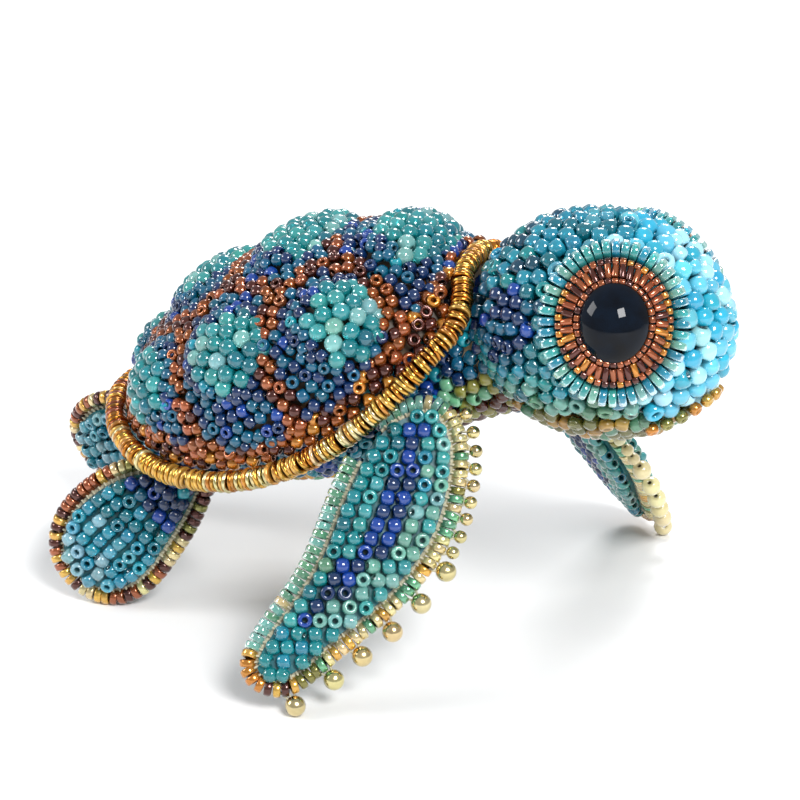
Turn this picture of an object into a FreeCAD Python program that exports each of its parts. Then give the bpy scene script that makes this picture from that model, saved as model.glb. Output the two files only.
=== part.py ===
import FreeCAD, Part
import math
import os

# A beaded baby sea turtle: carved light-wood cores joined by dowels, a beeswax coat on each core,
# and beads set close together over the wax.  Millimetres, +Z up, head towards +X, the turtle's
# right side towards -Y.  The origin is on the ground, under the middle of the figure.

V = FreeCAD.Vector

# ---- driving dimensions -------------------------------------------------------------------
ORIGIN_SHIFT = V(-6.0, 0.7, 0.0)     # from the design's own origin to the middle of the figure

BEAD = 2.0                           # depth of a layer of seed beads
PEARL = 2.6                          # depth of the head's layer of larger beads
WAX = 0.8                            # beeswax between wood and beads

SHELL_CENTRE = V(-13.6, 0.0, 38.4)   # middle of the shell's rim line
SHELL_PITCH = 23.0                   # the shell rises towards the head, degrees
SHELL_HALF_LENGTH = 29.2             # rim of the bead layer, without the edging
SHELL_HALF_WIDTH = 21.3
SHELL_HEIGHT = 13.0                  # seam beads at the crest, above the rim line
SHELL_DOME_DROP = 5.0                # the dome's own centre lies this far under the rim line
DOME_TILT = 4.0                      # the dome leans this much more than the rim, degrees
SADDLE_DROP = 12.0                   # the rim hangs this much lower at the sides
MARGIN_BAND = 4.2                    # dark band above the rim
SCUTE_RISE = 1.9                     # the scutes stand this far above the seams
EDGING_RADIUS = 1.6                  # ring beads round the shell
EDGING_THICK = 1.15
RIM_POINTS = 48
EDGING_GAP = 0.16                    # air between the edging and what it lies against

BODY_CENTRE = V(-12.0, 0.0, 31.6)
BODY_PITCH = 14.0
BODY_RADII = (25.5, 18.2, 13.6)
PLASTRON_TOP = 20.6                  # height where the belly beads begin

HEAD_CENTRE = V(29.2, 0.0, 45.6)
HEAD_RADII = (18.0, 15.0, 15.4)
SNOUT_FROM = 9.5                     # from the head's middle, forwards
CROWN_FROM = 5.0                     # from the head's middle, upwards
CHIN_FROM = -9.0
MOUTH_BEAD = 0.95
MOUTH_BEADS = 11
MOUTH_HALF_WIDTH = 6.6
MOUTH_HEIGHTS = (-7.4, -11.1)        # at the snout and at the corners, from the head's middle

NECK_BACK = V(4.0, 0.0, 36.0)
NECK_FRONT = V(20.0, 0.0, 42.8)
NECK_RADIUS = 7.4
DOWEL_RADIUS = 2.5
DOWEL_LENGTH = 14.0                  # one dowel holds the head and two hold the shell
SHELL_DOWELS_AT = (-13.0, 2.0)        # along the shell

EYE_SPOT = V(6.4, 12.9, 5.0)         # from the head's middle, on the left side
EYE_HALF = (4.4, 5.0)                # half width and half height of the cabochon
BEZEL_HALF = (7.1, 7.9)
EYE_RING_HALF = (9.9, 10.8)
CABOCHON_BACK = -4.2                 # its flat back, from the beads' surface
CABOCHON_RISE = 2.0

BLADE_CORE = 1.0                     # half depth of a flipper's wood in the middle
BLADE_BEAD = 1.7                     # depth of the bead layers on the flippers
EDGE_BEAD = 1.05                     # radius of the flippers' edge beads
EDGE_THICK = 1.0
FACE_INSET = 1.45                    # the face beads stop this far inside the edge beads' line
GOLD_BALL = 1.4
SMALL_GOLD = 0.9
PEG_RADIUS = 0.8                     # thin wooden pegs that hold the flippers
PEG_LENGTH = 17.0
LIMB_RADII = (6.4, 3.9)              # a shoulder or hip, inside the body and at the flipper

# Edge beads' line of a front flipper: along the blade, then towards its leading edge.
FRONT_BLADE = [(-1.0, 4.8), (1.4, 8.2), (6.5, 10.7), (13.0, 12.1), (19.5, 11.6), (27.4, 9.1),
               (35.0, 5.6), (41.2, 1.2), (41.0, -2.2), (34.0, -3.3), (25.5, -2.1), (18.5, -2.5),
               (11.0, -3.0), (4.5, -2.1), (0.2, 1.0)]
# Gold beads outside the edge beads: where the row begins as a share of the line, how many,
# their radius and their spacing.
SMALL_GOLDS = (0.02, 9, SMALL_GOLD, 2.1)
LARGE_GOLDS = (0.216, 6, GOLD_BALL, 4.9)
FRONT_MIDDLE = (17.0, 4.2)
FRONT_ROOT = (4.0, 3.6)              # where the shoulder meets the blade
FRONT_LENS = (31.0, 12.5)

# Edge beads' line of a rear flipper, a rounded paddle.
REAR_BLADE = [(-0.5, 2.6), (3.2, 4.0), (9.7, 5.4), (15.6, 5.7), (20.0, 3.7), (22.3, -1.1),
              (21.7, -5.4), (17.8, -8.9), (12.4, -9.7), (7.0, -8.6), (2.1, -5.7), (-0.6, -1.6)]
REAR_MIDDLE = (10.8, -2.0)
REAR_ROOT = (4.0, -1.2)
REAR_LENS = (18.0, 12.0)

# Each flipper: where its blade starts, where it points, the way its upper face looks, the side
# on which its leading edge lies, how far its lowest bead is above the ground, and the place
# inside the body that its shoulder or hip grows from.
FLIPPERS = {
    "front_flipper_right": (
        V(8.0, -15.0, 35.0), V(-0.224, -0.567, -0.793), V(0.42, -0.79, 0.45), 1, 0.0, V(1.0, -4.0, 33.0)),
    "front_flipper_left": (
        V(13.2, 14.0, 34.4), V(0.19, 0.61, -0.77), V(0.52, 0.70, 0.48), -1, 0.0, V(5.0, 2.0, 33.5)),
    "rear_flipper_right": (
        V(-26.0, -12.5, 22.0), V(-0.618, -0.279, -0.735), V(0.24, -0.96, 0.16), 1, 0.0, V(-20.0, -3.0, 27.0)),
    "rear_flipper_left": (
        V(-36.0, 9.0, 22.0), V(-0.93, 0.16, -0.33), V(0.30, 0.88, 0.36), -1, 3.0, V(-25.0, 2.0, 28.0)),
}


# ---- small tools --------------------------------------------------------------------------
def ellipsoid(radii, centre=V(0, 0, 0)):
    """A ball stretched to three half lengths."""
    stretch = FreeCAD.Matrix()
    stretch.scale(radii[0], radii[1], radii[2])
    stretch.move(centre)
    return Part.makeSphere(1.0).transformGeometry(stretch)


def grown(radii, amount):
    return tuple(r + amount for r in radii)


def pieces(shape, least=0.3):
    """The shape's solids without the crumbs that a cut can leave."""
    solids = [s for s in shape.Solids if s.Volume > least]
    return solids[0] if len(solids) == 1 else Part.makeCompound(solids)


def moved(shape, place):
    return shape.transformed(place.toMatrix())


def tilted(centre, pitch):
    """Placement of something whose front is lifted by the pitch."""
    return FreeCAD.Placement(centre, FreeCAD.Rotation(V(0, 1, 0), -pitch))


def facing(origin, along, normal):
    """Placement with its X along the blade and its Z out of the face."""
    z = normal - along * normal.dot(along)
    return FreeCAD.Placement(origin, FreeCAD.Rotation(along, z.cross(along), z, "ZXY"))


def ring_beads(points, radius, thick):
    """One short cylinder on each point of a closed line, strung along the line."""
    solids = []
    for i, p in enumerate(points):
        along = points[(i + 1) % len(points)] - points[i - 1]
        along.normalize()
        solids.append(Part.makeCylinder(radius, thick, p - along * (thick / 2), along))
    return solids


def even_points(curve, pitch):
    """Evenly spaced points on a closed curve, about one pitch apart."""
    count = int(curve.length() / pitch)
    return curve.discretize(Number=count + 1)[:-1]


def closed_curve(points):
    curve = Part.BSplineCurve()
    curve.interpolate(points, PeriodicFlag=True)
    return curve


# ---- shell --------------------------------------------------------------------------------
SHELL_PLACE = tilted(SHELL_CENTRE, SHELL_PITCH)
SADDLE_RADIUS = (SHELL_HALF_WIDTH ** 2 + SADDLE_DROP ** 2) / (2 * SADDLE_DROP)
DOME_RISE = SHELL_HEIGHT + SHELL_DOME_DROP
DOME_RADII = (
    SHELL_HALF_LENGTH / math.sqrt(1 - (SHELL_DOME_DROP / DOME_RISE) ** 2),
    SHELL_HALF_WIDTH / math.sqrt(1 - ((SHELL_DOME_DROP - SADDLE_DROP) / DOME_RISE) ** 2),
    DOME_RISE,
)
DOME_PLACE = tilted(V(0, 0, -SHELL_DOME_DROP), DOME_TILT)

# Scutes: place along and across the shell, half length and half width.
SCUTES = {
    "vertebral_scute_front": (21.5, 0.0, 6.8, 9.5),
    "vertebral_scute_middle": (5.8, 0.0, 7.3, 10.6),
    "vertebral_scute_rear": (-10.3, 0.0, 7.2, 9.8),
    "vertebral_scute_tail": (-23.2, 0.0, 5.6, 7.2),
}
COSTALS = {
    "front": (15.0, 18.0, 6.9, 6.9),
    "middle": (-1.4, 20.0, 7.3, 6.8),
    "rear": (-16.6, 16.4, 6.6, 6.2),
}
for place, (x, y, half_length, half_width) in COSTALS.items():
    SCUTES["costal_scute_" + place + "_left"] = (x, y, half_length, half_width)
    SCUTES["costal_scute_" + place + "_right"] = (x, -y, half_length, half_width)


def saddle(lift=0.0):
    """The curved surface that the shell sits on, as the cylinder under it."""
    return Part.makeCylinder(SADDLE_RADIUS, 120, V(-60, 0, lift - SADDLE_RADIUS), V(1, 0, 0))


def under_edging():
    """The space under the shell that is clear of its edging."""
    clearance = EDGING_RADIUS + EDGING_GAP
    return Part.makeCylinder(SADDLE_RADIUS - clearance, 120, V(-60, 0, -SADDLE_RADIUS), V(1, 0, 0))


def saddle_height(y):
    return math.sqrt(SADDLE_RADIUS ** 2 - y ** 2) - SADDLE_RADIUS


def dome(inset):
    return moved(ellipsoid(grown(DOME_RADII, -inset)), DOME_PLACE)


def dome_spot(x, y):
    """The point of the bead surface above a place of the dome, and the way it faces."""
    a, b, c = DOME_RADII
    z = c * math.sqrt(1 - (x / a) ** 2 - (y / b) ** 2)
    normal = V(x / a ** 2, y / b ** 2, z / c ** 2)
    normal.normalize()
    return DOME_PLACE.multVec(V(x, y, z)), DOME_PLACE.Rotation.multVec(normal)


def scute_form(x, y, half_length, half_width):
    """A low cushion lying on the dome."""
    spot, normal = dome_spot(x, y)
    cushion = ellipsoid((half_length, half_width, SCUTE_RISE + BEAD))
    along = V(1, 0, 0)
    along = (along - normal * along.dot(normal)).normalize()
    return moved(cushion, facing(spot - normal * BEAD, along, normal))


def level(point, radii):
    """Under 1 inside an ellipsoid round the origin, 1 on it."""
    return math.sqrt((point.x / radii[0]) ** 2 + (point.y / radii[1]) ** 2 + (point.z / radii[2]) ** 2)


def rim_point(angle):
    """The middle of the edging beside one point of the rim, in the shell's own frame."""
    low, high = 1.0, 60.0
    to_dome = DOME_PLACE.inverse()
    for _ in range(40):
        reach = (low + high) / 2
        point = V(reach * math.cos(angle), reach * math.sin(angle), 0)
        point.z = saddle_height(min(abs(point.y), SADDLE_RADIUS))
        low, high = (reach, high) if level(to_dome.multVec(point), DOME_RADII) < 1 else (low, reach)
    outward = V(point.x / DOME_RADII[0] ** 2, point.y / DOME_RADII[1] ** 2, 0).normalize()
    # The edging lies beyond the rim along the slope of the saddle, so it stays against the rim.
    outward.z = -outward.y * point.y / math.sqrt(SADDLE_RADIUS ** 2 - point.y ** 2)
    return point + outward.normalize() * (EDGING_RADIUS + EDGING_GAP)


def clear_of_head(point):
    """A point of the edging, moved back where the nape of the head would touch it."""
    offset = point - HEAD_CENTRE
    reach = level(offset, grown(HEAD_RADII, EDGING_RADIUS + EDGING_GAP))
    return point if reach > 1 else HEAD_CENTRE + offset * (1 / reach)


def build_shell():
    base = saddle().fuse(moved(head_form(-2 * (EDGING_RADIUS + EDGING_GAP)), SHELL_PLACE.inverse()))
    core = dome(BEAD + WAX).cut(base)
    coated = dome(BEAD).cut(base)
    layer = dome(0).cut(base).cut(coated)
    forms = {name: scute_form(*size) for name, size in SCUTES.items()}
    band = saddle(MARGIN_BAND)
    out = {"shell_core": core, "shell_wax": coated.cut(core), "shell_margin_beads": layer.common(band)}
    seams = layer.cut(band)
    for name, form in forms.items():
        out[name] = form.cut(dome(BEAD)).cut(base).cut(band)
        seams = seams.cut(form)
    out["shell_seam_beads"] = seams
    out = {name: moved(shape, SHELL_PLACE) for name, shape in out.items()}
    rim = [SHELL_PLACE.multVec(rim_point(2 * math.pi * i / RIM_POINTS)) for i in range(RIM_POINTS)]
    line = closed_curve([clear_of_head(point) for point in rim])
    beads = ring_beads(even_points(line, EDGING_THICK * 1.12), EDGING_RADIUS, EDGING_THICK)
    out["shell_edge_beads"] = Part.makeCompound(beads)
    return out


# ---- body, neck and head -------------------------------------------------------------------
def trunk_form(inset):
    """The body under the shell."""
    trunk = moved(ellipsoid(grown(BODY_RADII, -inset)), tilted(BODY_CENTRE, BODY_PITCH))
    return trunk.common(moved(saddle(), SHELL_PLACE))


def build_body():
    whole, coated, core = trunk_form(0), trunk_form(BEAD), trunk_form(BEAD + WAX)
    belly = Part.makeBox(200, 200, 200, V(-100, -100, PLASTRON_TOP - 200))
    layer = whole.cut(coated)
    return {
        "body_core": core,
        "body_wax": coated.cut(core),
        "body_side_beads": layer.cut(belly),
        "plastron_beads": layer.common(belly),
    }


def limb_form(root, aim):
    """A shoulder or hip: it tapers from inside the body to the flipper's root, under the edging."""
    line = root - aim
    cone = Part.makeCone(LIMB_RADII[0], LIMB_RADII[1], line.Length, aim, line)
    return cone.common(moved(under_edging(), SHELL_PLACE))


def head_form(inset):
    return ellipsoid(grown(HEAD_RADII, -inset), HEAD_CENTRE)


def eye_place(side):
    """Frame of an eye: Z out of the head, Y up."""
    spot = V(EYE_SPOT.x, EYE_SPOT.y * side, EYE_SPOT.z)
    normal = V(spot.x / HEAD_RADII[0] ** 2, spot.y / HEAD_RADII[1] ** 2, spot.z / HEAD_RADII[2] ** 2)
    normal.normalize()
    up = V(0, 0, 1)
    up = (up - normal * up.dot(normal)).normalize()
    return FreeCAD.Placement(HEAD_CENTRE + spot, FreeCAD.Rotation(up.cross(normal), up, normal, "ZXY"))


def oval_post(half, low, high):
    """An upright post with an oval section."""
    post = Part.Ellipse(V(0, 0, low), half[1], half[0]).toShape()
    post.rotate(V(0, 0, low), V(0, 0, 1), 90)
    return Part.Face(Part.Wire(post)).extrude(V(0, 0, high - low))


def build_eye(side):
    place = eye_place(side)
    post = oval_post(EYE_HALF, CABOCHON_BACK, CABOCHON_RISE + 1)
    dome_top = ellipsoid((EYE_HALF[0] * 1.25, EYE_HALF[1] * 1.25, CABOCHON_RISE - CABOCHON_BACK),
                         V(0, 0, CABOCHON_BACK))
    cabochon = moved(post.common(dome_top), place)
    pocket = moved(post, place)
    bezel_post = moved(oval_post(BEZEL_HALF, -9, 6), place)
    ring_post = moved(oval_post(EYE_RING_HALF, -9, 6), place)
    proud = head_form(-0.5).cut(head_form(PEARL))
    bezel = proud.common(bezel_post).cut(pocket)
    ring = head_form(0).cut(head_form(PEARL)).common(ring_post).cut(bezel_post)
    return cabochon, pocket, bezel, ring, ring_post


def mouth_beads():
    """A line of small beads from the right corner round the snout to the left corner."""
    points = []
    for i in range(-4, 5):
        t = i / 4.0
        y = MOUTH_HALF_WIDTH * t
        z = MOUTH_HEIGHTS[0] + (MOUTH_HEIGHTS[1] - MOUTH_HEIGHTS[0]) * t * t
        x = HEAD_RADII[0] * math.sqrt(1 - (y / HEAD_RADII[1]) ** 2 - (z / HEAD_RADII[2]) ** 2)
        points.append(HEAD_CENTRE + V(x, y, z))
    curve = Part.BSplineCurve()
    curve.interpolate(points)
    return curve.discretize(Number=MOUTH_BEADS)


def build_head():
    neck_line = (NECK_FRONT - NECK_BACK).normalize()
    neck_post = Part.makeCylinder(NECK_RADIUS, 60, NECK_BACK - neck_line * 20, neck_line)
    core = head_form(PEARL + WAX)
    coated = head_form(PEARL)
    layer = head_form(0).cut(coated)
    wax = coated.cut(core)
    out = {}
    spots = mouth_beads()
    out["mouth_line_beads"] = Part.makeCompound([Part.makeSphere(MOUTH_BEAD, p) for p in spots])
    seats = [Part.makeSphere(MOUTH_BEAD + 0.02, p) for p in spots]
    layer = layer.cut(seats[0].multiFuse(seats[1:]))
    for side, name in ((1, "left"), (-1, "right")):
        cabochon, pocket, bezel, ring, ring_post = build_eye(side)
        out["eye_cabochon_" + name] = cabochon
        out["eye_bezel_" + name] = bezel
        out["eye_ring_beads_" + name] = ring
        layer = layer.cut(ring_post)
        wax = wax.cut(pocket)
        core = core.cut(pocket)
    c = HEAD_CENTRE
    snout_box = Part.makeBox(60, 100, 100, c + V(SNOUT_FROM, -50, -50))
    crown_box = Part.makeBox(100, 100, 60, c + V(-50, -50, CROWN_FROM))
    chin_box = Part.makeBox(100, 100, 60, c + V(-50, -50, CHIN_FROM - 60))
    out["head_snout_beads"] = layer.common(snout_box)
    rest = layer.cut(snout_box)
    out["head_crown_beads"] = rest.common(crown_box)
    out["head_chin_beads"] = rest.common(chin_box)
    sides = rest.cut(crown_box).cut(chin_box)
    for name, y in (("left", 0), ("right", -50)):
        half = Part.makeBox(100, 50, 100, c + V(-50, y, -50))
        out["head_side_beads_" + name] = sides.common(half)
    out["head_core"] = core
    out["head_wax"] = wax
    return out, neck_post


# ---- flippers -------------------------------------------------------------------------------
def inset_points(points, amount):
    """The outline's points moved inwards, square to the line through their neighbours."""
    out = []
    for i, (x, y) in enumerate(points):
        before, after = points[i - 1], points[(i + 1) % len(points)]
        dx, dy = after[0] - before[0], after[1] - before[1]
        size = math.hypot(dx, dy)
        out.append((x + dy / size * amount, y - dx / size * amount))
    return out


def blade_post(outline, inset, mirror):
    """The outline's area as a tall upright block."""
    flat = [V(x, y * mirror, -6) for x, y in inset_points(outline, inset)]
    return Part.Face(Part.Wire(closed_curve(flat).toShape())).extrude(V(0, 0, 12))


def build_flipper(name):
    origin, along, normal, mirror, lift, aim = FLIPPERS[name]
    front = name.startswith("front")
    if front:
        outline, middle, lens, root = FRONT_BLADE, FRONT_MIDDLE, FRONT_LENS, FRONT_ROOT
    else:
        outline, middle, lens, root = REAR_BLADE, REAR_MIDDLE, REAR_LENS, REAR_ROOT
    centre = V(middle[0], middle[1] * mirror, 0)

    def blade(depth, inset):
        return ellipsoid((lens[0] + inset, lens[1] + inset, depth), centre).common(
            blade_post(outline, FACE_INSET - min(inset, 0), mirror))

    core = blade(BLADE_CORE, -0.5)
    coated = blade(BLADE_CORE + WAX / 2, 0)
    beaded = blade(BLADE_CORE + WAX / 2 + BLADE_BEAD, 0).cut(coated)
    upper = Part.makeBox(200, 200, 50, V(-100, -100, 0))
    lower = Part.makeBox(200, 200, 50, V(-100, -100, -50))
    out = {
        name + "_core": core,
        name + "_wax": coated.cut(core),
        name + "_top_beads": beaded.common(upper),
        name + "_under_beads": beaded.common(lower),
    }
    line = closed_curve([V(x, y * mirror, 0) for x, y in outline])
    spots = even_points(line, EDGE_THICK * 1.12)
    out[name + "_edge_beads"] = Part.makeCompound(ring_beads(spots, EDGE_BEAD, EDGE_THICK))
    if front:
        out[name + "_gold_balls"] = Part.makeCompound(gold_balls(line, mirror))
    room = BLADE_CORE + WAX / 2 + BLADE_BEAD + 0.15
    envelope = ellipsoid((lens[0], lens[1], room), centre)
    envelope = envelope.common(blade_post(outline, -EDGE_BEAD - 0.1, mirror))
    place = facing(origin, along, normal)
    out = {key: moved(shape, place) for key, shape in out.items()}
    lowest = min(out[key].BoundBox.ZMin for key in out if key.endswith(("edge_beads", "gold_balls")))
    drop = V(0, 0, lift - lowest)
    for shape in out.values():
        shape.translate(drop)
    envelope = moved(envelope, place)
    envelope.translate(drop)
    root = place.multVec(V(root[0], root[1] * mirror, 0)) + drop
    peg = Part.makeCylinder(PEG_RADIUS, PEG_LENGTH, root, aim - root)
    return out, envelope, limb_form(root, aim), peg


def clear_beads(beads, pegs, edging):
    """The edge beads without those that a peg or the shell's edging leaves no room for."""
    spots = [bead.CenterOfMass for bead in edging.Solids]
    reach = EDGE_BEAD + EDGING_RADIUS
    kept = []
    for bead in beads.Solids:
        spot = bead.CenterOfMass
        touching = any(spot.distanceToPoint(other) < reach for other in spots)
        if not touching and all(bead.distToShape(peg)[0] > 0.05 for peg in pegs):
            kept.append(bead)
    return Part.makeCompound(kept)


def gold_balls(line, mirror):
    """Large balls along the outer leading edge and the tip, small ones up to the shoulder."""
    balls = []
    length = line.length()
    fine = line.discretize(Number=801)
    for begin, count, radius, pitch in SMALL_GOLDS, LARGE_GOLDS:
        for i in range(count):
            k = int(800 * (begin + i * pitch / length))
            tangent = fine[k + 1] - fine[k - 1]
            tangent.normalize()
            outward = V(-tangent.y, tangent.x, 0) * mirror
            balls.append(Part.makeSphere(radius, fine[k] + outward * (EDGE_BEAD + radius + 0.05)))
    return balls


# ---- the whole figure -----------------------------------------------------------------------
def build():
    nodes = build_shell()
    nodes.update(build_body())
    head, neck_post = build_head()
    nodes.update(head)

    neck_line = (NECK_FRONT - NECK_BACK).normalize()
    neck_start = NECK_BACK - neck_line * 4
    trunk = moved(ellipsoid(BODY_RADII), tilted(BODY_CENTRE, BODY_PITCH))
    shell_solid = moved(dome(0).cut(saddle()), SHELL_PLACE)
    neck = neck_post.common(Part.makeCylinder(30, 30, neck_start, neck_line))
    nodes["neck_core"] = neck.cut(nodes["head_core"]).cut(nodes["body_core"]).cut(shell_solid)
    tube = Part.makeCylinder(NECK_RADIUS + BEAD, 30, neck_start, neck_line).cut(neck)
    nodes["neck_beads"] = tube.cut(head_form(0)).cut(trunk).cut(shell_solid)
    for name in ("head_wax", "head_side_beads_left", "head_side_beads_right", "head_chin_beads",
                 "head_crown_beads", "body_wax", "body_side_beads", "plastron_beads"):
        nodes[name] = nodes[name].cut(nodes["neck_core"])

    limbs, pegs = [], []
    for name in FLIPPERS:
        parts, envelope, limb, peg = build_flipper(name)
        for layer in ("_core", "_wax", "_top_beads", "_under_beads"):
            parts[name + layer] = parts[name + layer].cut(peg)
        edge = name + "_edge_beads"
        parts[edge] = clear_beads(parts[edge], [peg], nodes["shell_edge_beads"])
        nodes.update(parts)
        for other in ("body_core", "body_wax", "body_side_beads", "plastron_beads", "neck_beads"):
            nodes[other] = nodes[other].cut(envelope)
        nodes["neck_beads"] = nodes["neck_beads"].cut(limb)
        limbs.append(pieces(limb.cut(trunk).cut(neck_post).cut(envelope).cut(peg), 2.0))
        pegs.append(peg)
    nodes["shoulder_and_hip_beads"] = Part.makeCompound(limbs)
    nodes["flipper_pegs"] = Part.makeCompound(pegs)
    for name in ("body_core", "body_wax", "body_side_beads", "plastron_beads", "neck_core", "neck_beads"):
        for peg in pegs:
            nodes[name] = nodes[name].cut(peg)

    middle = (NECK_BACK + NECK_FRONT) * 0.5
    foot = middle - neck_line * (DOWEL_LENGTH / 2)
    dowels = [Part.makeCylinder(DOWEL_RADIUS, DOWEL_LENGTH, foot, neck_line)]
    for x in SHELL_DOWELS_AT:
        foot = V(x, 0, -DOWEL_LENGTH / 2)
        dowels.append(moved(Part.makeCylinder(DOWEL_RADIUS, DOWEL_LENGTH, foot), SHELL_PLACE))
    for name in ("neck_core", "head_core", "shell_core", "shell_wax", "body_core", "body_wax",
                 "body_side_beads"):
        for dowel in dowels:
            nodes[name] = nodes[name].cut(dowel)
    nodes["dowels"] = Part.makeCompound(dowels)
    return {name: pieces(shape, 0.05) for name, shape in nodes.items()}


def main():
    os.makedirs("parts", exist_ok=True)
    for name, shape in build().items():
        shape.translate(ORIGIN_SHIFT * -1)
        shape.exportStep("parts/" + name + ".step")
        box = shape.BoundBox
        print(name, len(shape.Solids), round(shape.Volume, 1), "x", round(box.XMin, 1), round(box.XMax, 1),
              "y", round(box.YMin, 1), round(box.YMax, 1), "z", round(box.ZMin, 1), round(box.ZMax, 1),
              "" if shape.isValid() else "INVALID")


main()
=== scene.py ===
import bpy
import math
import numpy as np
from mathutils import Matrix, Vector
from mathutils.bvhtree import BVHTree


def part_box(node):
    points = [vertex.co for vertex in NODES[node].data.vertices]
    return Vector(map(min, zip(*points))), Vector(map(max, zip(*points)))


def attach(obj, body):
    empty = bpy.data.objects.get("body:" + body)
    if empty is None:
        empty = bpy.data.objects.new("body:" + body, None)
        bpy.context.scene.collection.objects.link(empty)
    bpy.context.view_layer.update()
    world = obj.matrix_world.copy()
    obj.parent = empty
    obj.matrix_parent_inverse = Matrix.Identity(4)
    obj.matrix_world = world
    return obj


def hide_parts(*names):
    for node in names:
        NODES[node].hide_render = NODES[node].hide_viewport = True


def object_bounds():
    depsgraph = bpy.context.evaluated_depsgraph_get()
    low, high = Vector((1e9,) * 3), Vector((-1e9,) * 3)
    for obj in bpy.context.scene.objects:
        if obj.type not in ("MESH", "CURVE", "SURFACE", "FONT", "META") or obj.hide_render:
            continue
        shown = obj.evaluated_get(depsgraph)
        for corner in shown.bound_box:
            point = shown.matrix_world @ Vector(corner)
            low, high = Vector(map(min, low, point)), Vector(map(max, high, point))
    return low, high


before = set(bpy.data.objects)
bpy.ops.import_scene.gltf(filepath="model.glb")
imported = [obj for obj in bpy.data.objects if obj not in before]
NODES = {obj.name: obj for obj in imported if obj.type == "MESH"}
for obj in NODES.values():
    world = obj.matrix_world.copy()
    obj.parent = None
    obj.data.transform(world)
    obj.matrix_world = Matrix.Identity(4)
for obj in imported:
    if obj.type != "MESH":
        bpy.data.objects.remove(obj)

# A beaded baby sea turtle.  Every layer of beads in the CAD model is replaced by its single
# beads, set on the surface of that layer.  Metres, the head towards +X, its right side to -Y.

MM = 0.001
cad_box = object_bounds()
rng = np.random.default_rng(11)


# ---- bead shapes, of radius 1 and half length 1 along Z, with painted shade and highlights ---
def lathe(profile, around, close):
    """A profile of (radius, height, painted light) turned round Z. The painted light scales the bead's
    colour at each point: below 1 it is painted shade, above 1 a painted highlight.
    """
    rows = len(profile)
    verts, painted_light, faces = [], [], []
    for i in range(around):
        a = 2 * math.pi * i / around
        # s is the painted light at this point of the profile: painted shade below 1, painted highlight
        # above 1.
        for r, z, s in profile:
            verts.append((r * math.cos(a), r * math.sin(a), z))
            painted_light.append(s)
    for i in range(around):
        j = (i + 1) % around
        for k in range(rows if close else rows - 1):
            m = (k + 1) % rows
            faces.append((i * rows + k, j * rows + k, j * rows + m, i * rows + m))
    return np.array(verts), np.array(painted_light), np.array(faces)


def donut(hole, around=12):
    """A seed bead: a rounded ring, with painted shade inside its hole and a painted highlight on its lip.
    """
    profile = []
    for t in range(8):
        a = 2 * math.pi * t / 8
        r = (1 + hole) / 2 + (1 - hole) / 2 * math.cos(a)
        # Painted light: 0.30 is painted shade inside the hole, 1.22 a painted highlight on the lip.
        light = 0.30 if math.cos(a) < -0.8 else 1.22 if abs(math.sin(a)) > 0.9 else 0.95
        profile.append((r, math.sin(a), light))
    return lathe(profile, around, True)


def disc(hole, around=14):
    """A short ring bead with softly rounded edges."""
    # The third number is painted light: painted shade darkens the bead towards and inside its hole.
    profile = [(1.0, -0.55, 1.0), (0.92, -0.92, 0.95), (0.72, -1.0, 0.8), (hole, -0.94, 0.4),
               (hole, 0.94, 0.4), (0.72, 1.0, 0.8), (0.92, 0.92, 0.95), (1.0, 0.55, 1.0)]
    return lathe(profile, around, True)


def ball(hole, around=14):
    """A round bead with a small hole through it along Z."""
    start = math.asin(hole)
    # The third number is painted light: painted shade round the mouths of the hole, and darker painted
    # shade inside it.
    profile = []
    for k in range(9):
        a = start + (math.pi - 2 * start) * k / 8
        profile.append((math.sin(a), -math.cos(a), 0.6 if k in (0, 8) else 1.0))
    inner = [(hole * 0.9, 0.7, 0.2), (hole * 0.9, -0.7, 0.2)]
    return lathe(profile + inner, around, True)


def bar(around=8):
    """A long tube bead."""
    # The third number is painted light: a painted highlight along the middle of the tube and painted shade
    # at the ends, round the hole.
    profile = [(0.35, -1.0, 0.4), (0.85, -0.98, 0.8), (1.0, -0.85, 1.0), (1.0, 0.0, 1.15),
               (1.0, 0.85, 1.0), (0.85, 0.98, 0.8), (0.35, 1.0, 0.4)]
    return lathe(profile, around, True)


def barrel(around=12):
    """A seed bead seen from its side: a rounded barrel with a hole through it along Z."""
    # The third number is painted light: painted shade at the mouths of the hole and inside it, a faint
    # painted highlight on the shoulders.
    profile = [(0.36, -0.92, 0.35), (0.62, -1.0, 1.0), (0.90, -0.72, 1.08), (1.0, -0.25, 1.0),
               (1.0, 0.25, 1.0), (0.90, 0.72, 1.08), (0.62, 1.0, 1.0), (0.36, 0.92, 0.35),
               (0.30, 0.0, 0.2)]
    return lathe(profile, around, True)


SHAPES = {"seed": donut(0.30), "barrel": barrel(), "disc": disc(0.35), "ball": ball(0.22),
          "bar": bar()}


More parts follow.
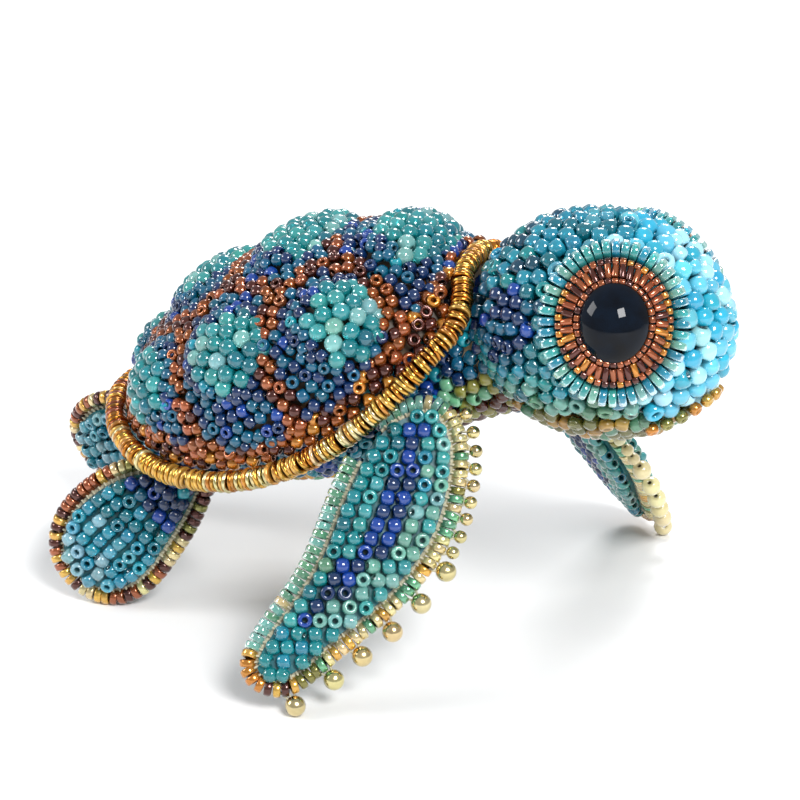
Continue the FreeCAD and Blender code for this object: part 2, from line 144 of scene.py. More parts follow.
# ---- materials -----------------------------------------------------------------------------
def bead_material(name, metallic=0.0, rough=0.12, clear=0.0, coat=0.8, grain=900.0, bump=0.05):
    """Tinted by each bead's own colour with the painted shade and highlights of its shape, with streaks
    inside the glass and a fine uneven surface.
    """
    m = bpy.data.materials.new(name)
    m.use_nodes = True
    nt = m.node_tree
    bsdf = nt.nodes["Principled BSDF"]
    # The colour attribute brings each bead's colour with painted shade in its hole and painted highlights.
    tint = nt.nodes.new("ShaderNodeAttribute")
    tint.attribute_name = "tint"
    where = nt.nodes.new("ShaderNodeTexCoord")
    noise = nt.nodes.new("ShaderNodeTexNoise")
    noise.inputs["Scale"].default_value = grain
    noise.inputs["Detail"].default_value = 3.0
    nt.links.new(where.outputs["Object"], noise.inputs["Vector"])
    streak = nt.nodes.new("ShaderNodeMapRange")
    streak.inputs["To Min"].default_value = 0.72
    streak.inputs["To Max"].default_value = 1.28
    nt.links.new(noise.outputs["Fac"], streak.inputs["Value"])
    mix = nt.nodes.new("ShaderNodeVectorMath")
    mix.operation = "SCALE"
    nt.links.new(tint.outputs["Color"], mix.inputs[0])
    nt.links.new(streak.outputs["Result"], mix.inputs["Scale"])
    nt.links.new(mix.outputs["Vector"], bsdf.inputs["Base Color"])
    haze = nt.nodes.new("ShaderNodeMapRange")
    haze.inputs["To Min"].default_value = rough * 0.6
    haze.inputs["To Max"].default_value = rough * 1.5
    nt.links.new(noise.outputs["Fac"], haze.inputs["Value"])
    nt.links.new(haze.outputs["Result"], bsdf.inputs["Roughness"])
    bumps = nt.nodes.new("ShaderNodeBump")
    bumps.inputs["Strength"].default_value = bump
    bumps.inputs["Distance"].default_value = 0.0002
    nt.links.new(noise.outputs["Fac"], bumps.inputs["Height"])
    nt.links.new(bumps.outputs["Normal"], bsdf.inputs["Normal"])
    bsdf.inputs["Metallic"].default_value = metallic
    bsdf.inputs["Transmission Weight"].default_value = clear
    bsdf.inputs["Coat Weight"].default_value = coat
    bsdf.inputs["Coat Roughness"].default_value = 0.04
    bsdf.inputs["IOR"].default_value = 1.52
    return m


def plain_material(name, low, high, scale, rough, bump, stretch=(1, 1, 1), coat=0.0):
    """Two tones mixed by noise, for wood, wax, thread, the eye and the floor."""
    m = bpy.data.materials.new(name)
    m.use_nodes = True
    nt = m.node_tree
    bsdf = nt.nodes["Principled BSDF"]
    where = nt.nodes.new("ShaderNodeTexCoord")
    place = nt.nodes.new("ShaderNodeMapping")
    place.inputs["Scale"].default_value = stretch
    noise = nt.nodes.new("ShaderNodeTexNoise")
    noise.inputs["Scale"].default_value = scale
    noise.inputs["Detail"].default_value = 5.0
    ramp = nt.nodes.new("ShaderNodeValToRGB")
    ramp.color_ramp.elements[0].position = 0.35
    ramp.color_ramp.elements[1].position = 0.68
    ramp.color_ramp.elements[0].color = (*low, 1)
    ramp.color_ramp.elements[1].color = (*high, 1)
    bumps = nt.nodes.new("ShaderNodeBump")
    bumps.inputs["Strength"].default_value = bump
    bumps.inputs["Distance"].default_value = 0.0003
    nt.links.new(where.outputs["Object"], place.inputs["Vector"])
    nt.links.new(place.outputs["Vector"], noise.inputs["Vector"])
    nt.links.new(noise.outputs["Fac"], ramp.inputs["Fac"])
    nt.links.new(ramp.outputs["Color"], bsdf.inputs["Base Color"])
    nt.links.new(noise.outputs["Fac"], bumps.inputs["Height"])
    nt.links.new(bumps.outputs["Normal"], bsdf.inputs["Normal"])
    bsdf.inputs["Roughness"].default_value = rough
    bsdf.inputs["Coat Weight"].default_value = coat
    bsdf.inputs["Coat Roughness"].default_value = 0.02
    return m


GLASS = bead_material("bead_glass", rough=0.13, coat=0.7)
CLEAR = bead_material("bead_clear_glass", rough=0.06, clear=0.5, coat=1.0)
PEARL = bead_material("bead_pearl", rough=0.16, coat=1.0, grain=500.0)
GOLD = bead_material("bead_gold", metallic=1.0, rough=0.2, coat=0.4, bump=0.15)
LINED = bead_material("bead_metal_lined", metallic=0.65, rough=0.2, coat=0.9)
WAX = plain_material("beeswax", (0.03, 0.018, 0.008), (0.09, 0.05, 0.02), 400, 0.5, 0.5)
DARK_WAX = plain_material("tinted_wax", (0.002, 0.06, 0.08), (0.006, 0.14, 0.16), 400, 0.4, 0.5)
WOOD = plain_material("carved_wood", (0.42, 0.27, 0.14), (0.66, 0.48, 0.28), 120, 0.6, 0.3, (0.2, 1, 1))
THREAD = plain_material("thread", (0.35, 0.33, 0.24), (0.62, 0.58, 0.42), 2500, 0.75, 0.8)
EYE = plain_material("eye_glass", (0.0008, 0.001, 0.002), (0.002, 0.006, 0.014), 260, 0.03, 0.0)
EYE.node_tree.nodes["Principled BSDF"].inputs["Specular IOR Level"].default_value = 0.2
FLOOR = plain_material("floor", (0.86, 0.86, 0.86), (0.89, 0.89, 0.89), 30, 0.8, 0.02)


# ---- pieces --------------------------------------------------------------------------------
def square_to(axis):
    """Two unit vectors square to each axis of an array."""
    axis = axis / np.linalg.norm(axis, axis=1, keepdims=True)
    other = np.where(np.abs(axis[:, 2:3]) < 0.9, [[0.0, 0.0, 1.0]], [[1.0, 0.0, 0.0]])
    u = np.cross(other, axis)
    u /= np.linalg.norm(u, axis=1, keepdims=True)
    return u, np.cross(axis, u), axis


class Beads:
    """Collects the beads of one piece and joins them in one mesh."""

    def __init__(self):
        self.rows = []

    def add(self, shape, place, axis, radius, half, colour, material):
        self.rows.append((shape, np.array(place), np.array(axis), radius, half, np.array(colour), material))

    def lay(self, place, normal, along, radius, colour, material, hole_out=0.15):
        """A seed bead on the surface: most lie on their side along the row, some face outwards."""
        if rng.random() < hole_out:
            self.add("seed", place - normal * radius * 0.62, normal + rng.normal(0, 0.16, 3), radius,
                     radius * 0.64, colour, material)
            return
        row = along - normal * (along @ normal)
        row = row / (np.linalg.norm(row) + 1e-9) + rng.normal(0, 0.2, 3)
        self.add("barrel", place - normal * radius * 0.97, row, radius, radius * 0.84, colour, material)

    def build(self, name, slot, *replaced):
        verts, faces, colours_and_painted_light, which = [], [], [], []
        materials = []
        base = 0
        for shape, place, axis, radius, half, colour, material in self.rows:
            template, painted_light, quads = SHAPES[shape]
            u, v, w = square_to(axis[None])
            turn = rng.uniform(0, 2 * math.pi)
            x = template[:, 0] * math.cos(turn) - template[:, 1] * math.sin(turn)
            y = template[:, 0] * math.sin(turn) + template[:, 1] * math.cos(turn)
            verts.append(place + radius * (x[:, None] * u + y[:, None] * v) + half * template[:, 2:3] * w)
            faces.append(quads + base)
            base += len(template)
            # Each bead gets its own random tone; its colour is then multiplied by the painted shade and
            # highlights of its shape.
            jitter = rng.normal(1.0, 0.07) * (1 + rng.normal(0, 0.035, 3))
            tint = np.clip(colour * jitter * painted_light[:, None], 0, 1)
            colours_and_painted_light.append(np.hstack([tint, np.ones((len(template), 1))]))
            if material not in materials:
                materials.append(material)
            which.append(np.full(len(quads), materials.index(material)))
        verts, faces, colours_and_painted_light = np.vstack(verts), np.vstack(faces), np.vstack(colours_and_painted_light)
        mesh = bpy.data.meshes.new(name)
        mesh.from_pydata([], [], [])
        mesh.vertices.add(len(verts))
        mesh.vertices.foreach_set("co", verts.ravel())
        mesh.loops.add(faces.size)
        mesh.loops.foreach_set("vertex_index", faces.ravel().astype(np.int32))
        mesh.polygons.add(len(faces))
        mesh.polygons.foreach_set("loop_start", np.arange(0, faces.size, 4, dtype=np.int32))
        for material in materials:
            mesh.materials.append(material)
        mesh.polygons.foreach_set("material_index", np.concatenate(which).astype(np.int32))
        mesh.polygons.foreach_set("use_smooth", np.ones(len(faces), bool))
        mesh.update(calc_edges=True)
        # This colour attribute holds each bead's colour together with the painted shade and highlights of
        # its shape.
        tint = mesh.color_attributes.new("tint", "FLOAT_COLOR", "POINT")
        tint.data.foreach_set("color", colours_and_painted_light.ravel())
        mesh.validate()
        piece = bpy.data.objects.new(name, mesh)
        bpy.context.scene.collection.objects.link(piece)
        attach(piece, "root")
        if replaced:
            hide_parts(*replaced)


def node_arrays(name):
    """Vertices and triangles of a CAD node."""
    mesh = NODES[name].data
    mesh.calc_loop_triangles()
    co = np.zeros(len(mesh.vertices) * 3)
    mesh.vertices.foreach_get("co", co)
    tri = np.zeros(len(mesh.loop_triangles) * 3, np.int32)
    mesh.loop_triangles.foreach_get("vertices", tri)
    return co.reshape(-1, 3), tri.reshape(-1, 3)


def skin(name, facing, least, density=9.0):
    """Even random points on the outer side of a CAD layer, with the way each faces.
    facing gives the outward direction at each point."""
    co, tri = node_arrays(name)
    a, b, c = co[tri[:, 0]], co[tri[:, 1]], co[tri[:, 2]]
    n = np.cross(b - a, c - a)
    area = np.linalg.norm(n, axis=1) / 2
    good = area > 1e-12
    a, b, c, n, area = a[good], b[good], c[good], n[good], area[good]
    n = n / np.linalg.norm(n, axis=1, keepdims=True)
    out = facing((a + b + c) / 3)
    out = out / np.linalg.norm(out, axis=1, keepdims=True)
    good = (n * out).sum(1) > least
    a, b, c, n, area = a[good], b[good], c[good], n[good], area[good]
    count = int(area.sum() / MM ** 2 * density)
    pick = rng.choice(len(area), count, p=area / area.sum())
    s, t = rng.random(count), rng.random(count)
    over = s + t > 1
    s[over], t[over] = 1 - s[over], 1 - t[over]
    p = a[pick] + s[:, None] * (b[pick] - a[pick]) + t[:, None] * (c[pick] - a[pick])
    return p, n[pick]


def settle(points, order, radii, taken=None, tight=0.95):
    """Takes points in order, each as close to those before it as their radii allow."""
    kept = []
    spots = np.zeros((len(points) + (0 if taken is None else len(taken[0])), 3))
    sizes = np.zeros(len(spots))
    used = 0
    if taken is not None:
        used = len(taken[0])
        spots[:used], sizes[:used] = taken
    for i in np.argsort(order):
        if used:
            gap = np.linalg.norm(spots[:used] - points[i], axis=1) - tight * (sizes[:used] + radii[i])
            if gap.min() < 0:
                continue
        spots[used], sizes[used] = points[i], radii[i]
        used += 1
        kept.append(i)
    return np.array(kept, int)


def fill(points, order, radii, tight=0.92, small=0.78):
    """Packs the surface, then puts smaller beads in the gaps.  Gives indices and final radii."""
    first = settle(points, order, radii, None, tight)
    rest = settle(points, order, radii * small, (points[first], radii[first]), tight)
    return np.concatenate([first, rest]), np.concatenate([radii[first], radii[rest] * small])


def loose_vertices(name):
    """The vertices of each separate solid of a CAD node."""
    co, tri = node_arrays(name)
    key = np.round(co / 1e-7).astype(np.int64)
    _, same = np.unique(key, axis=0, return_inverse=True)
    same = same.ravel()
    label = np.arange(same.max() + 1)
    edges = np.vstack([same[tri[:, [0, 1]]], same[tri[:, [1, 2]]]])
    while True:
        low = np.minimum(label[edges[:, 0]], label[edges[:, 1]])
        before = label.copy()
        np.minimum.at(label, edges[:, 0], low)
        np.minimum.at(label, edges[:, 1], low)
        label = label[label]
        if (label == before).all():
            break
    owner = label[same]
    return [co[owner == k] for k in np.unique(owner)]


def loose_parts(name):
    """Middle and reach of each separate solid of a CAD node."""
    middles, reaches = [], []
    for own in loose_vertices(name):
        middles.append((own.min(0) + own.max(0)) / 2)
        reaches.append(np.linalg.norm(own - middles[-1], axis=1).max())
    return np.array(middles), np.array(reaches)


def along_string(spots):
    """Direction from each bead to its nearest neighbour."""
    gap = np.linalg.norm(spots[:, None] - spots[None], axis=2)
    np.fill_diagonal(gap, 1.0)
    return spots[gap.argmin(1)] - spots


def middle_of(*names):
    low = np.min([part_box(n)[0] for n in names], axis=0)
    high = np.max([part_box(n)[1] for n in names], axis=0)
    return (low + high) / 2, (high - low) / 2


def rgb(code):
    """Linear colour from a display colour written as six hex digits."""
    parts = [int(code[i:i + 2], 16) / 255 for i in (0, 2, 4)]
    return np.array([p / 12.92 if p < 0.04045 else ((p + 0.055) / 1.055) ** 2.4 for p in parts])


def choose(*options):
    """One of several (share, value) options."""
    share = np.array([o[0] for o in options], float)
    return options[rng.choice(len(options), p=share / share.sum())][1]


AQUA, SKY, ICE = rgb("249fbc"), rgb("58b4cc"), rgb("98cfdd")
TEAL, DEEP, NAVY = rgb("107f90"), rgb("09506c"), rgb("0b2852")
ROYAL, MINT, LEAF = rgb("123a86"), rgb("80c4b4"), rgb("6aa984")
OLIVE, AMBER, GOLDEN = rgb("83803a"), rgb("bb7a26"), rgb("d3a348")
COPPER, BROWN, CREAM = rgb("98502a"), rgb("4e2015"), rgb("dccf9c")
CHAMPAGNE, RUST = rgb("d8c892"), rgb("8f4a16")
JADE, SEAFOAM, PALE = rgb("1a9ca2"), rgb("44b4b4"), rgb("90d2cf")


# ---- head ----------------------------------------------------------------------------------
EDGING_ROOM = 2.2                # head beads keep this far from the middles of the edging beads, mm
HEAD_NODES = ["head_crown_beads", "head_snout_beads", "head_side_beads_left", "head_side_beads_right",
              "head_chin_beads"]
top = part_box("head_crown_beads")[1].z
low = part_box("head_chin_beads")[0].z
head_middle = np.array([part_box("head_snout_beads")[1].x - (top - low) * 18.0 / 30.8,
                        middle_of("head_snout_beads")[0][1], (top + low) / 2])
EYES = {}
for side in ("left", "right"):
    co, _ = node_arrays("eye_bezel_" + side)
    rough_out = co.mean(0) - head_middle
    spread = co - co.mean(0)
    normal = np.linalg.svd(spread, full_matrices=False)[2][2]
    normal = normal * np.sign(normal @ rough_out)
    up = np.array([0, 0, 1.0])
    up = up - normal * (up @ normal)
    up /= np.linalg.norm(up)
    wide = np.cross(up, normal)
    flat = np.stack([spread @ wide, spread @ up, spread @ normal], 1)
    mid = (flat.min(0) + flat.max(0)) / 2
    centre = co.mean(0) + mid[0] * wide + mid[1] * up + mid[2] * normal
    half = (flat.max(0) - flat.min(0)) / 2
    EYES[side] = (centre, wide, up, normal, half, flat[:, 2].max() - mid[2])


def head_bead(p):
    """Radius, kind, colour and material of a head bead at a place."""
    x, _, z = (p - head_middle) / MM
    z = z + rng.normal(0, 0.9)
    x = x + rng.normal(0, 0.9)
    noise = rng.random()
    if z < -10.5:
        return 1.1, "seed", choose((3, OLIVE), (2, GOLDEN), (2, LEAF)), CLEAR
    if z < -6.5 and x < 9:
        return 1.15, "seed", choose((3, MINT), (3, LEAF), (2, TEAL)), CLEAR
    if x > 9 or (x > 3 and z > 8.5):
        return 1.42, "ball" if noise < 0.65 else "seed", choose((4, SKY), (3, ICE), (2, AQUA)), PEARL
    if x < -6.0 and -2 < z < 6:
        return 1.05, "seed", choose((4, NAVY), (3, ROYAL), (4, DEEP)), GLASS
    if x < -2.5 and z > -3:
        return 1.2, "seed", choose((1, DEEP), (4, TEAL), (5, AQUA), (2, JADE)), CLEAR
    if z > 3:
        return 1.28, "ball" if noise < 0.3 else "seed", choose((5, AQUA), (3, SKY), (1, TEAL)), CLEAR
    return 1.12, "seed", choose((4, JADE), (4, AQUA), (3, SEAFOAM), (1, TEAL)), CLEAR


points, normals, owner = [], [], []
for k, name in enumerate(HEAD_NODES):
    p, n = skin(name, lambda q: q - head_middle, 0.55)
    points.append(p)
    normals.append(n)
    owner.append(np.full(len(p), k))
points, normals, owner = np.vstack(points), np.vstack(normals), np.concatenate(owner)
to_eye = np.min([np.linalg.norm(points - EYES[s][0], axis=1) for s in EYES], axis=0)
looks = [head_bead(p) for p in points]
radii = np.array([look[0] for look in looks]) * MM
keep, sizes = fill(points, to_eye, radii)
edging_spots = loose_parts("shell_edge_beads")[0]
for k, name in enumerate(HEAD_NODES):
    beads = Beads()
    for i, size in zip(keep, sizes):
        if owner[i] != k or np.linalg.norm(edging_spots - points[i], axis=1).min() < EDGING_ROOM * MM:
            continue
        _, kind, colour, material = looks[i]
        near = min(EYES.values(), key=lambda e: np.linalg.norm(points[i] - e[0]))[0]
        row = np.cross(normals[i], points[i] - near)
        if kind == "ball":
            spot = points[i] - normals[i] * size * 0.97
            beads.add("ball", spot, row, size, size * 0.95, colour, material)
        else:
            beads.lay(points[i], normals[i], row, size, colour, material)
    beads.build(name + "_set", {"head_crown_beads": "aqua_beads", "head_snout_beads": "ice_blue_beads",
                                "head_chin_beads": "green_gold_beads"}.get(name, "teal_cheek_beads"), name)

BEZEL_OPENING = 0.625           # of the bezel's half width
HEAD_ROUNDNESS = 16             # radius of the head round the eye, mm

# eyes: a bezel of radial bars between two rows of small beads, and a ring of clear discs
for side, (centre, wide, up, normal, half, front) in EYES.items():
    def on_oval(a, share, height):
        """A place on the bezel: share is 0 at its opening and 1 at its outer edge."""
        rim = np.array([half[0] * math.cos(a), half[1] * math.sin(a)])
        inner = rim * BEZEL_OPENING
        flat = inner + (rim - inner) * share
        q = centre + wide * flat[0] + up * flat[1]
        # The bezel follows the head, so its outer part lies further back.
        back = (flat[0] ** 2 + flat[1] ** 2) / (2 * HEAD_ROUNDNESS * MM)
        return q + normal * (front - back + height)

    bezel = Beads()
    for i in range(40):
        a = 2 * math.pi * i / 40
        inner, outer = on_oval(a, 0.30, -0.7 * MM), on_oval(a, 0.80, -0.7 * MM)
        colour = choose((4, COPPER), (2, BROWN), (1, AMBER))
        bezel.add("bar", (inner + outer) / 2, outer - inner + rng.normal(0, 0.12 * MM, 3), 0.46 * MM,
                  np.linalg.norm(outer - inner) * rng.uniform(0.54, 0.68), colour, LINED)
    for share, count, size, tone in ((0.10, 34, 0.46, COPPER), (0.96, 46, 0.5, AMBER)):
        for i in range(count):
            a = 2 * math.pi * (i + 0.5) / count
            spot = on_oval(a, share, -0.6 * MM)
            step = on_oval(a + 0.05, share, -0.6 * MM) - spot
            bezel.add("disc", spot, step, size * rng.uniform(0.85, 1.12) * MM, 0.40 * MM,
                      choose((3, tone), (2, COPPER), (1, BROWN)), LINED)
    bezel.build("eye_bezel_" + side + "_set", "copper_bezel_beads", "eye_bezel_" + side)

    ring = Beads()
    for i in range(44):
        a = 2 * math.pi * i / 44
        spot = on_oval(a, 1.52, -0.6 * MM)
        step = on_oval(a + 0.05, 1.52, -0.6 * MM) - spot
        ring.add("disc", spot - normal * 0.5 * MM, step, 1.28 * MM, 0.52 * MM,
                 choose((3, SEAFOAM), (3, AQUA), (2, MINT)), CLEAR)
    ring.build("eye_ring_" + side + "_set", "mint_disc_beads", "eye_ring_beads_" + side)
    NODES["eye_cabochon_" + side].data.materials.clear()
    NODES["eye_cabochon_" + side].data.materials.append(EYE)

mouth_spots = loose_parts("mouth_line_beads")[0]
mouth = Beads()
for spot in mouth_spots:
    mouth.add("seed", spot, spot - head_middle + rng.normal(0, 0.001, 3), 0.94 * MM, 0.66 * MM,
              choose((4, GOLDEN), (2, OLIVE), (1, AMBER)), LINED)
mouth.build("mouth_line_set", "gold_ring_beads", "mouth_line_beads")

# ---- shell ---------------------------------------------------------------------------------
SCUTES = sorted(n for n in NODES if "scute" in n)
shell_middle, shell_half = middle_of("shell_seam_beads", "shell_margin_beads")
shell_inside = shell_middle - np.array([0, 0, shell_half[2] * 0.8])


def from_shell_inside(q):
    return q - shell_inside



edging = Beads()
for spot, step in zip(edging_spots, along_string(edging_spots)):
    share = (spot[0] - cad_box[0][0]) / (cad_box[1][0] - cad_box[0][0])
    step = step / np.linalg.norm(step)
    for shift in (-0.31, 0.31):
        tone = choose((5, GOLDEN), (2, CHAMPAGNE), (2, AMBER))
        if share < 0.22:
            tone = choose((3, AMBER), (3, COPPER), (1, GOLDEN))
        if share > 0.62:
            tone = choose((5, AMBER), (2, GOLDEN))
        edging.add("disc", spot + step * shift * MM, step + rng.normal(0, 0.09, 3),
                   rng.uniform(1.38, 1.6) * MM, 0.27 * MM, tone,
                   GOLD if rng.random() < 0.7 else LINED)
edging.build("shell_edging_set", "gold_ring_beads", "shell_edge_beads")

scute_edges = []
for name in SCUTES:
    centre = middle_of(name)[0]
    p, n = skin(name, from_shell_inside, 0.35, 12)
    heart = p[np.argmax((p - shell_inside) @ (centre - shell_inside))]
    reach = np.linalg.norm(p - heart, axis=1)
    limit = np.quantile(reach, 0.70)
    big = reach < limit
    size = np.where(big, 1.3, 0.82) * MM
    keep = settle(p, reach, size, tight=0.93)
    beads = Beads()
    for i in keep:
        if big[i]:
            colour = choose((5, JADE), (4, SEAFOAM), (2, PALE), (2, TEAL))
            row = np.cross(n[i], p[i] - heart + rng.normal(0, 0.5 * MM, 3))
            beads.add("ball", p[i] - n[i] * 1.2 * MM, row, 1.28 * MM, 1.22 * MM, colour, CLEAR)
        else:
            colour = choose((4, NAVY), (5, DEEP), (1, ROYAL), (2, TEAL))
            beads.lay(p[i], n[i], np.cross(n[i], p[i] - heart), 0.86 * MM, colour, GLASS)
    beads.build(name + "_set", "teal_crystal_beads", name)
    scute_edges.append(p[~big])

p, n = skin("shell_seam_beads", from_shell_inside, 0.35)
keep, sizes = fill(p, p[:, 0] * 0.6 + p[:, 1] * 0.8, np.full(len(p), 0.92 * MM))
beads = Beads()
for i, size in zip(keep, sizes):
    # Copper runs along the lines that are as far from one scute as from the next.
    gap = sorted(np.linalg.norm(edge - p[i], axis=1).min() for edge in scute_edges)
    if gap[1] - gap[0] < 2.6 * MM:
        colour, material = choose((5, COPPER), (4, RUST), (3, BROWN)), LINED
    else:
        colour, material = choose((5, NAVY), (5, DEEP), (1, ROYAL)), GLASS
    beads.lay(p[i], n[i], np.array([0.3, 1.0, 0.0]), size, colour, material)
beads.build("shell_seam_set", "copper_seam_beads", "shell_seam_beads")

p, n = skin("shell_margin_beads", from_shell_inside, 0.3)
near = np.array([np.linalg.norm(edging_spots - q, axis=1).min() for q in p])
keep, sizes = fill(p, near, np.full(len(p), 0.98 * MM))
beads = Beads()
for i, size in zip(keep, sizes):
    colour = choose((3, BROWN), (3, COPPER), (4, RUST), (3, AMBER))
    beads.lay(p[i], n[i], np.cross(n[i], np.array([0.0, 0.0, 1.0])), size, colour, LINED)
beads.build("shell_margin_set", "brown_margin_beads", "shell_margin_beads")

# ---- body and neck -------------------------------------------------------------------------
body_middle = middle_of("body_core")[0]
for name, slot, colours in (
        ("body_side_beads", "dark_teal_beads", ((5, TEAL), (4, DEEP), (3, ROYAL), (2, NAVY))),
        ("plastron_beads", "olive_plastron_beads", ((5, OLIVE), (3, AMBER), (3, GOLDEN), (2, LEAF))),
        ("neck_beads", "dark_teal_beads", ((5, DEEP), (5, NAVY), (3, TEAL)))):
    inside = body_middle if name != "neck_beads" else (body_middle * 0.42 + head_middle * 0.58)
    p, n = skin(name, lambda q: q - inside, 0.25)
    keep, sizes = fill(p, p[:, 2] + 0.15 * p[:, 0], np.full(len(p), 1.02 * MM))
    beads = Beads()
    for i, size in zip(keep, sizes):
        under = name == "neck_beads" and n[i][2] < -0.2
        colour = choose((4, OLIVE), (3, BROWN), (1, LEAF)) if under else choose(*colours)
        beads.lay(p[i], n[i], np.cross(n[i], np.array([0.0, 0.0, 1.0])), size, colour, GLASS)
    beads.build(name + "_set", slot, name)

# Shoulders and hips: their beads face away from the line of the peg inside each.
pegs = [(own.mean(0), np.linalg.svd(own - own.mean(0), full_matrices=False)[2][0])
        for own in loose_vertices("flipper_pegs")]


def from_peg(q):
    """From the nearest peg's line to each point."""
    offsets = []
    for spot, line in pegs:
        away = q - spot
        offsets.append(away - (away @ line)[:, None] * line)
    offsets = np.array(offsets)
    nearest = np.linalg.norm(offsets, axis=2).argmin(0)
    return offsets[nearest, np.arange(len(q))]


p, n = skin("shoulder_and_hip_beads", from_peg, 0.4)
keep, sizes = fill(p, p[:, 2], np.full(len(p), 1.02 * MM))
beads = Beads()
for i, size in zip(keep, sizes):
    beads.lay(p[i], n[i], np.cross(n[i], np.array([0.0, 0.0, 1.0])), size,
              choose((4, NAVY), (4, DEEP), (2, TEAL)), GLASS)
beads.build("shoulder_and_hip_set", "dark_teal_beads", "shoulder_and_hip_beads")


# ---- flippers ------------------------------------------------------------------------------
def blade_frame(name):
    """Middle, direction towards the tip, leading direction and upper face of a flipper."""
    co, _ = node_arrays(name + "_core")
    mid = co.mean(0)
    axes = np.linalg.svd(co - mid, full_matrices=False)[2]
    top, under = middle_of(name + "_top_beads")[0], middle_of(name + "_under_beads")[0]
    tip, up = axes[0], axes[2]
    tip = tip * np.sign(tip @ (mid - body_middle))
    up = up * np.sign(up @ (top - under))
    return mid, tip, np.cross(up, tip) * (1 if "right" in name else -1), up


def face_colour(front, u, v):
    """Colour of a face bead: u is 0 to 1 from root to tip, v is 0 to 1 across its own row."""
    if front:
        stripe = float(np.interp(u, (0.0, 0.35, 0.6, 0.8, 0.9), (0.50, 0.47, 0.40, 0.25, 0.1)))
        if u < 0.84 and abs(v - stripe) < 0.17:
            return choose((5, NAVY), (5, ROYAL)), GLASS
        if u > 0.84:
            return choose((4, AQUA), (4, JADE), (1, PALE)), CLEAR
        if v < stripe:
            return choose((5, JADE), (2, SEAFOAM), (2, LEAF), (2, TEAL)), CLEAR
        return choose((4, MINT), (3, SEAFOAM), (2, PALE), (1, AQUA)), CLEAR
    if u < 0.3:
        return choose((4, NAVY), (3, ROYAL), (1, DEEP)), GLASS
    if u < 0.6:
        return choose((4, TEAL), (4, AQUA)), CLEAR
    return choose((5, SKY), (2, ICE), (3, AQUA)), CLEAR


ROW_TURN = math.radians(30)     # the rows slant this much across a front blade
ROW_BEAD = 1.04                 # radius of the face beads, mm


def row_beads(name, front, mid, tip, lead, face_up):
    """Beads in staggered rows across one face of a flipper."""
    co, tri = node_arrays(name)
    tree = BVHTree.FromPolygons(co.tolist(), tri.tolist())
    turn = ROW_TURN if front else 0.0
    along = lead * math.cos(turn) - tip * math.sin(turn)
    down = tip * math.cos(turn) + lead * math.sin(turn)
    a, b = (co - mid) @ along, (co - mid) @ down
    rows = np.arange(b.min() + 0.5 * MM, b.max(), ROW_BEAD * 1.72 * MM)
    beads = Beads()
    taken = []
    for k, down_at in enumerate(rows):
        def cast(across):
            start = mid + along * across + down * down_at + face_up * 20 * MM
            spot, normal, _, _ = tree.ray_cast(Vector(start), Vector(-face_up))
            if spot is not None and np.array(normal) @ face_up > 0.3:
                return np.array(spot), np.array(normal)
            return None

        width = [x for x in np.arange(a.min(), a.max(), 0.2 * MM) if cast(x) is not None]
        if not width:
            continue
        # Each row is spread evenly from one side of the blade to the other.
        low, high = width[0] + 0.7 * ROW_BEAD * MM, width[-1] - 0.7 * ROW_BEAD * MM
        count = max(1, int(round((high - low) / (ROW_BEAD * 1.96 * MM))) + 1)
        for across in np.linspace(low, high, count) if count > 1 else [(low + high) / 2]:
            hit = cast(across + rng.normal(0, 0.05) * MM)
            if hit is None:
                continue
            share = (across - width[0]) / (width[-1] - width[0] + 1e-9)
            colour, material = face_colour(front, k / (len(rows) - 1), share)
            beads.lay(hit[0], hit[1], along, ROW_BEAD * MM, colour, material, 0.25)
            taken.append(hit[0])
    # Smaller beads close the gaps along the outline.
    p, n = skin(name, lambda q: np.repeat(face_up[None], len(q), 0), 0.45, 14)
    taken = np.array(taken)
    sizes = np.full(len(p), 0.72 * MM)
    for i in settle(p, (p - mid) @ down, sizes, (taken, np.full(len(taken), ROW_BEAD * MM)), 0.9):
        beads.lay(p[i], n[i], along, 0.75 * MM, choose((3, TEAL), (2, AQUA), (2, LEAF)), CLEAR, 0.1)
    return beads


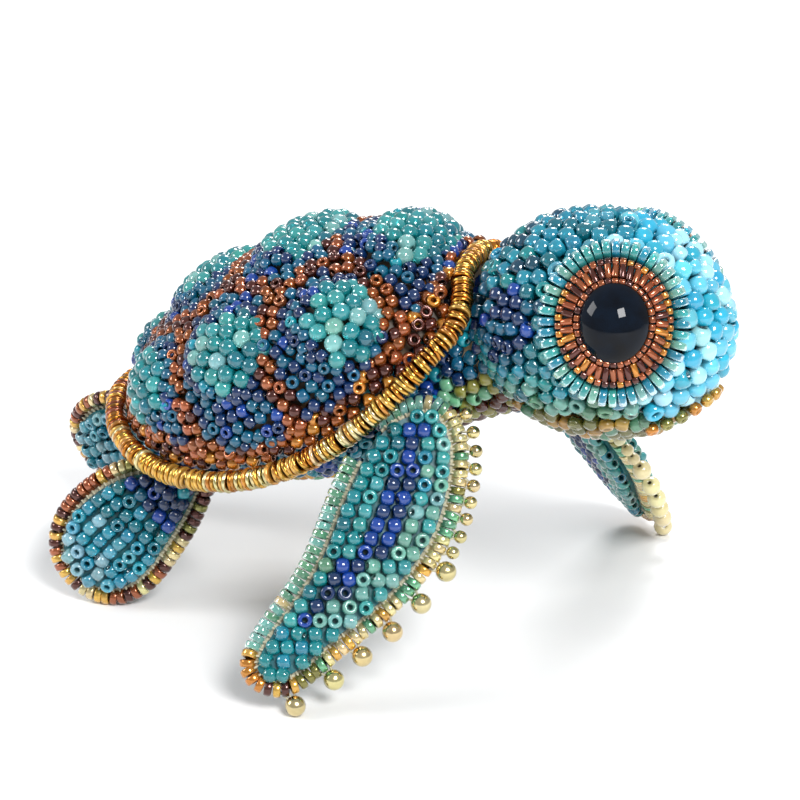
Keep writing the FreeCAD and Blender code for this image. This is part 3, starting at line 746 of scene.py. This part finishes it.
for name in sorted(n[:-5] for n in NODES if "flipper" in n and n.endswith("_core")):
    front = name.startswith("front")
    mid, tip, lead, up = blade_frame(name)
    for face, way in (("_top_beads", 1), ("_under_beads", -1)):
        beads = row_beads(name + face, front, mid, tip, lead, up * way)
        beads.build(name + face + "_set", "blue_flipper_beads", name + face)
    spots = loose_parts(name + "_edge_beads")[0]
    beads = Beads()
    u = (spots - mid) @ tip
    u = (u - u.min()) / (u.max() - u.min())
    v = (spots - mid) @ lead
    for spot, step, share, side in zip(spots, along_string(spots), u, v):
        if not front:
            tone = choose((3, COPPER), (2, BROWN), (3, GOLDEN), (2, CHAMPAGNE))
            if share < 0.3:
                tone = choose((3, OLIVE), (2, BROWN))
        elif share > 0.93:
            tone = choose((3, AMBER), (3, GOLDEN), (1, BROWN))
        elif side > 0:
            tone = choose((6, CHAMPAGNE), (2, OLIVE), (1, GOLDEN), (2, LEAF))
        else:
            tone = choose((4, LEAF), (3, MINT), (1, CHAMPAGNE))
        beads.add("disc", spot, step + rng.normal(0, 0.0001, 3), 1.1 * MM, 0.5 * MM, tone,
                  CLEAR if front and side < 0 and share < 0.93 else LINED)
    beads.build(name + "_edging_set", "pale_gold_edge_beads", name + "_edge_beads")
    stitches = Beads()
    for spot, step in zip(spots, along_string(spots)):
        inward = np.cross(up, step)
        inward = inward * np.sign(inward @ (mid - spot)) / np.linalg.norm(inward)
        for height in (-0.55, 0.55):
            near = spot + inward * 0.7 * MM + up * height * MM
            stitches.add("bar", near + inward * 0.8 * MM, inward, 0.16 * MM, 0.9 * MM, CREAM, THREAD)
        stitches.add("bar", spot + inward * 1.25 * MM, step, 0.34 * MM, 0.75 * MM, CREAM, THREAD)
    if front:
        balls, reach = loose_parts(name + "_gold_balls")
        beads = Beads()
        for ball_at, size in zip(balls, reach):
            near = np.argsort(np.linalg.norm(spots - ball_at, axis=1))
            for edge in spots[near[:3]]:
                stitches.add("bar", (edge + ball_at) / 2, ball_at - edge, 0.17 * MM,
                             np.linalg.norm(ball_at - edge) / 2, CREAM, THREAD)
            colour, material = (CREAM, PEARL) if "left" in name else (CHAMPAGNE, GOLD)
            beads.add("ball", ball_at, spots[near[1]] - spots[near[0]], size * 0.99, size * 0.97,
                      colour, material)
        beads.build(name + "_gold_set", "gold_balls", name + "_gold_balls")
    stitches.build(name + "_thread", "thread")

# ---- wax and wood --------------------------------------------------------------------------
for name, node in NODES.items():
    if name.endswith("_wax"):
        node.data.materials.clear()
        node.data.materials.append(WAX if name.startswith("shell") else DARK_WAX)
    elif name.endswith("_core") or "dowel" in name or "peg" in name:
        node.data.materials.clear()
        node.data.materials.append(WOOD)

# ---- floor, light and camera ---------------------------------------------------------------
def sheet(name, size, place, material):
    """A large flat floor of several faces."""
    steps = 8
    verts = [(place[0] + size * (i / steps - 0.5), place[1] + size * (j / steps - 0.5), place[2])
             for j in range(steps + 1) for i in range(steps + 1)]
    row = steps + 1
    faces = [(j * row + i, j * row + i + 1, (j + 1) * row + i + 1, (j + 1) * row + i)
             for j in range(steps) for i in range(steps)]
    mesh = bpy.data.meshes.new(name)
    mesh.from_pydata(verts, [], faces)
    mesh.materials.append(material)
    obj = bpy.data.objects.new(name, mesh)
    bpy.context.scene.collection.objects.link(obj)


sheet("floor", 6.0, (0, 0, cad_box[0][2]), FLOOR)

world = bpy.data.worlds.new("studio")
world.use_nodes = True
world.node_tree.nodes["Background"].inputs["Color"].default_value = (0.95, 0.97, 1.0, 1)
world.node_tree.nodes["Background"].inputs["Strength"].default_value = 0.5
bpy.context.scene.world = world


def softbox(name, place, size, power):
    lamp = bpy.data.lights.new(name, "AREA")
    lamp.size = size
    lamp.energy = power
    obj = bpy.data.objects.new(name, lamp)
    obj.location = place
    obj.rotation_euler = (Vector((0, 0, 0.03)) - Vector(place)).to_track_quat("-Z", "Y").to_euler()
    bpy.context.scene.collection.objects.link(obj)


softbox("key", (0.42, -0.36, 0.5), 0.24, 5.2)
softbox("fill", (-0.5, -0.25, 0.35), 0.25, 1.8)
softbox("back", (-0.1, 0.5, 0.5), 0.25, 2.6)

AZIMUTH, ELEVATION, DISTANCE = math.radians(25), math.radians(21), 0.42
aim = Vector((0.006, -0.0007, 0.030))
camera = bpy.data.cameras.new("camera")
camera.sensor_width = 36
camera.lens = 139
camera.clip_start = 0.01
eye = bpy.data.objects.new("camera", camera)
eye.location = aim + DISTANCE * Vector((math.sin(AZIMUTH) * math.cos(ELEVATION),
                                        -math.cos(AZIMUTH) * math.cos(ELEVATION), math.sin(ELEVATION)))
eye.rotation_euler = (aim - eye.location).to_track_quat("-Z", "Y").to_euler()
bpy.context.scene.collection.objects.link(eye)
bpy.context.scene.camera = eye
bpy.context.scene.view_settings.view_transform = "Standard"
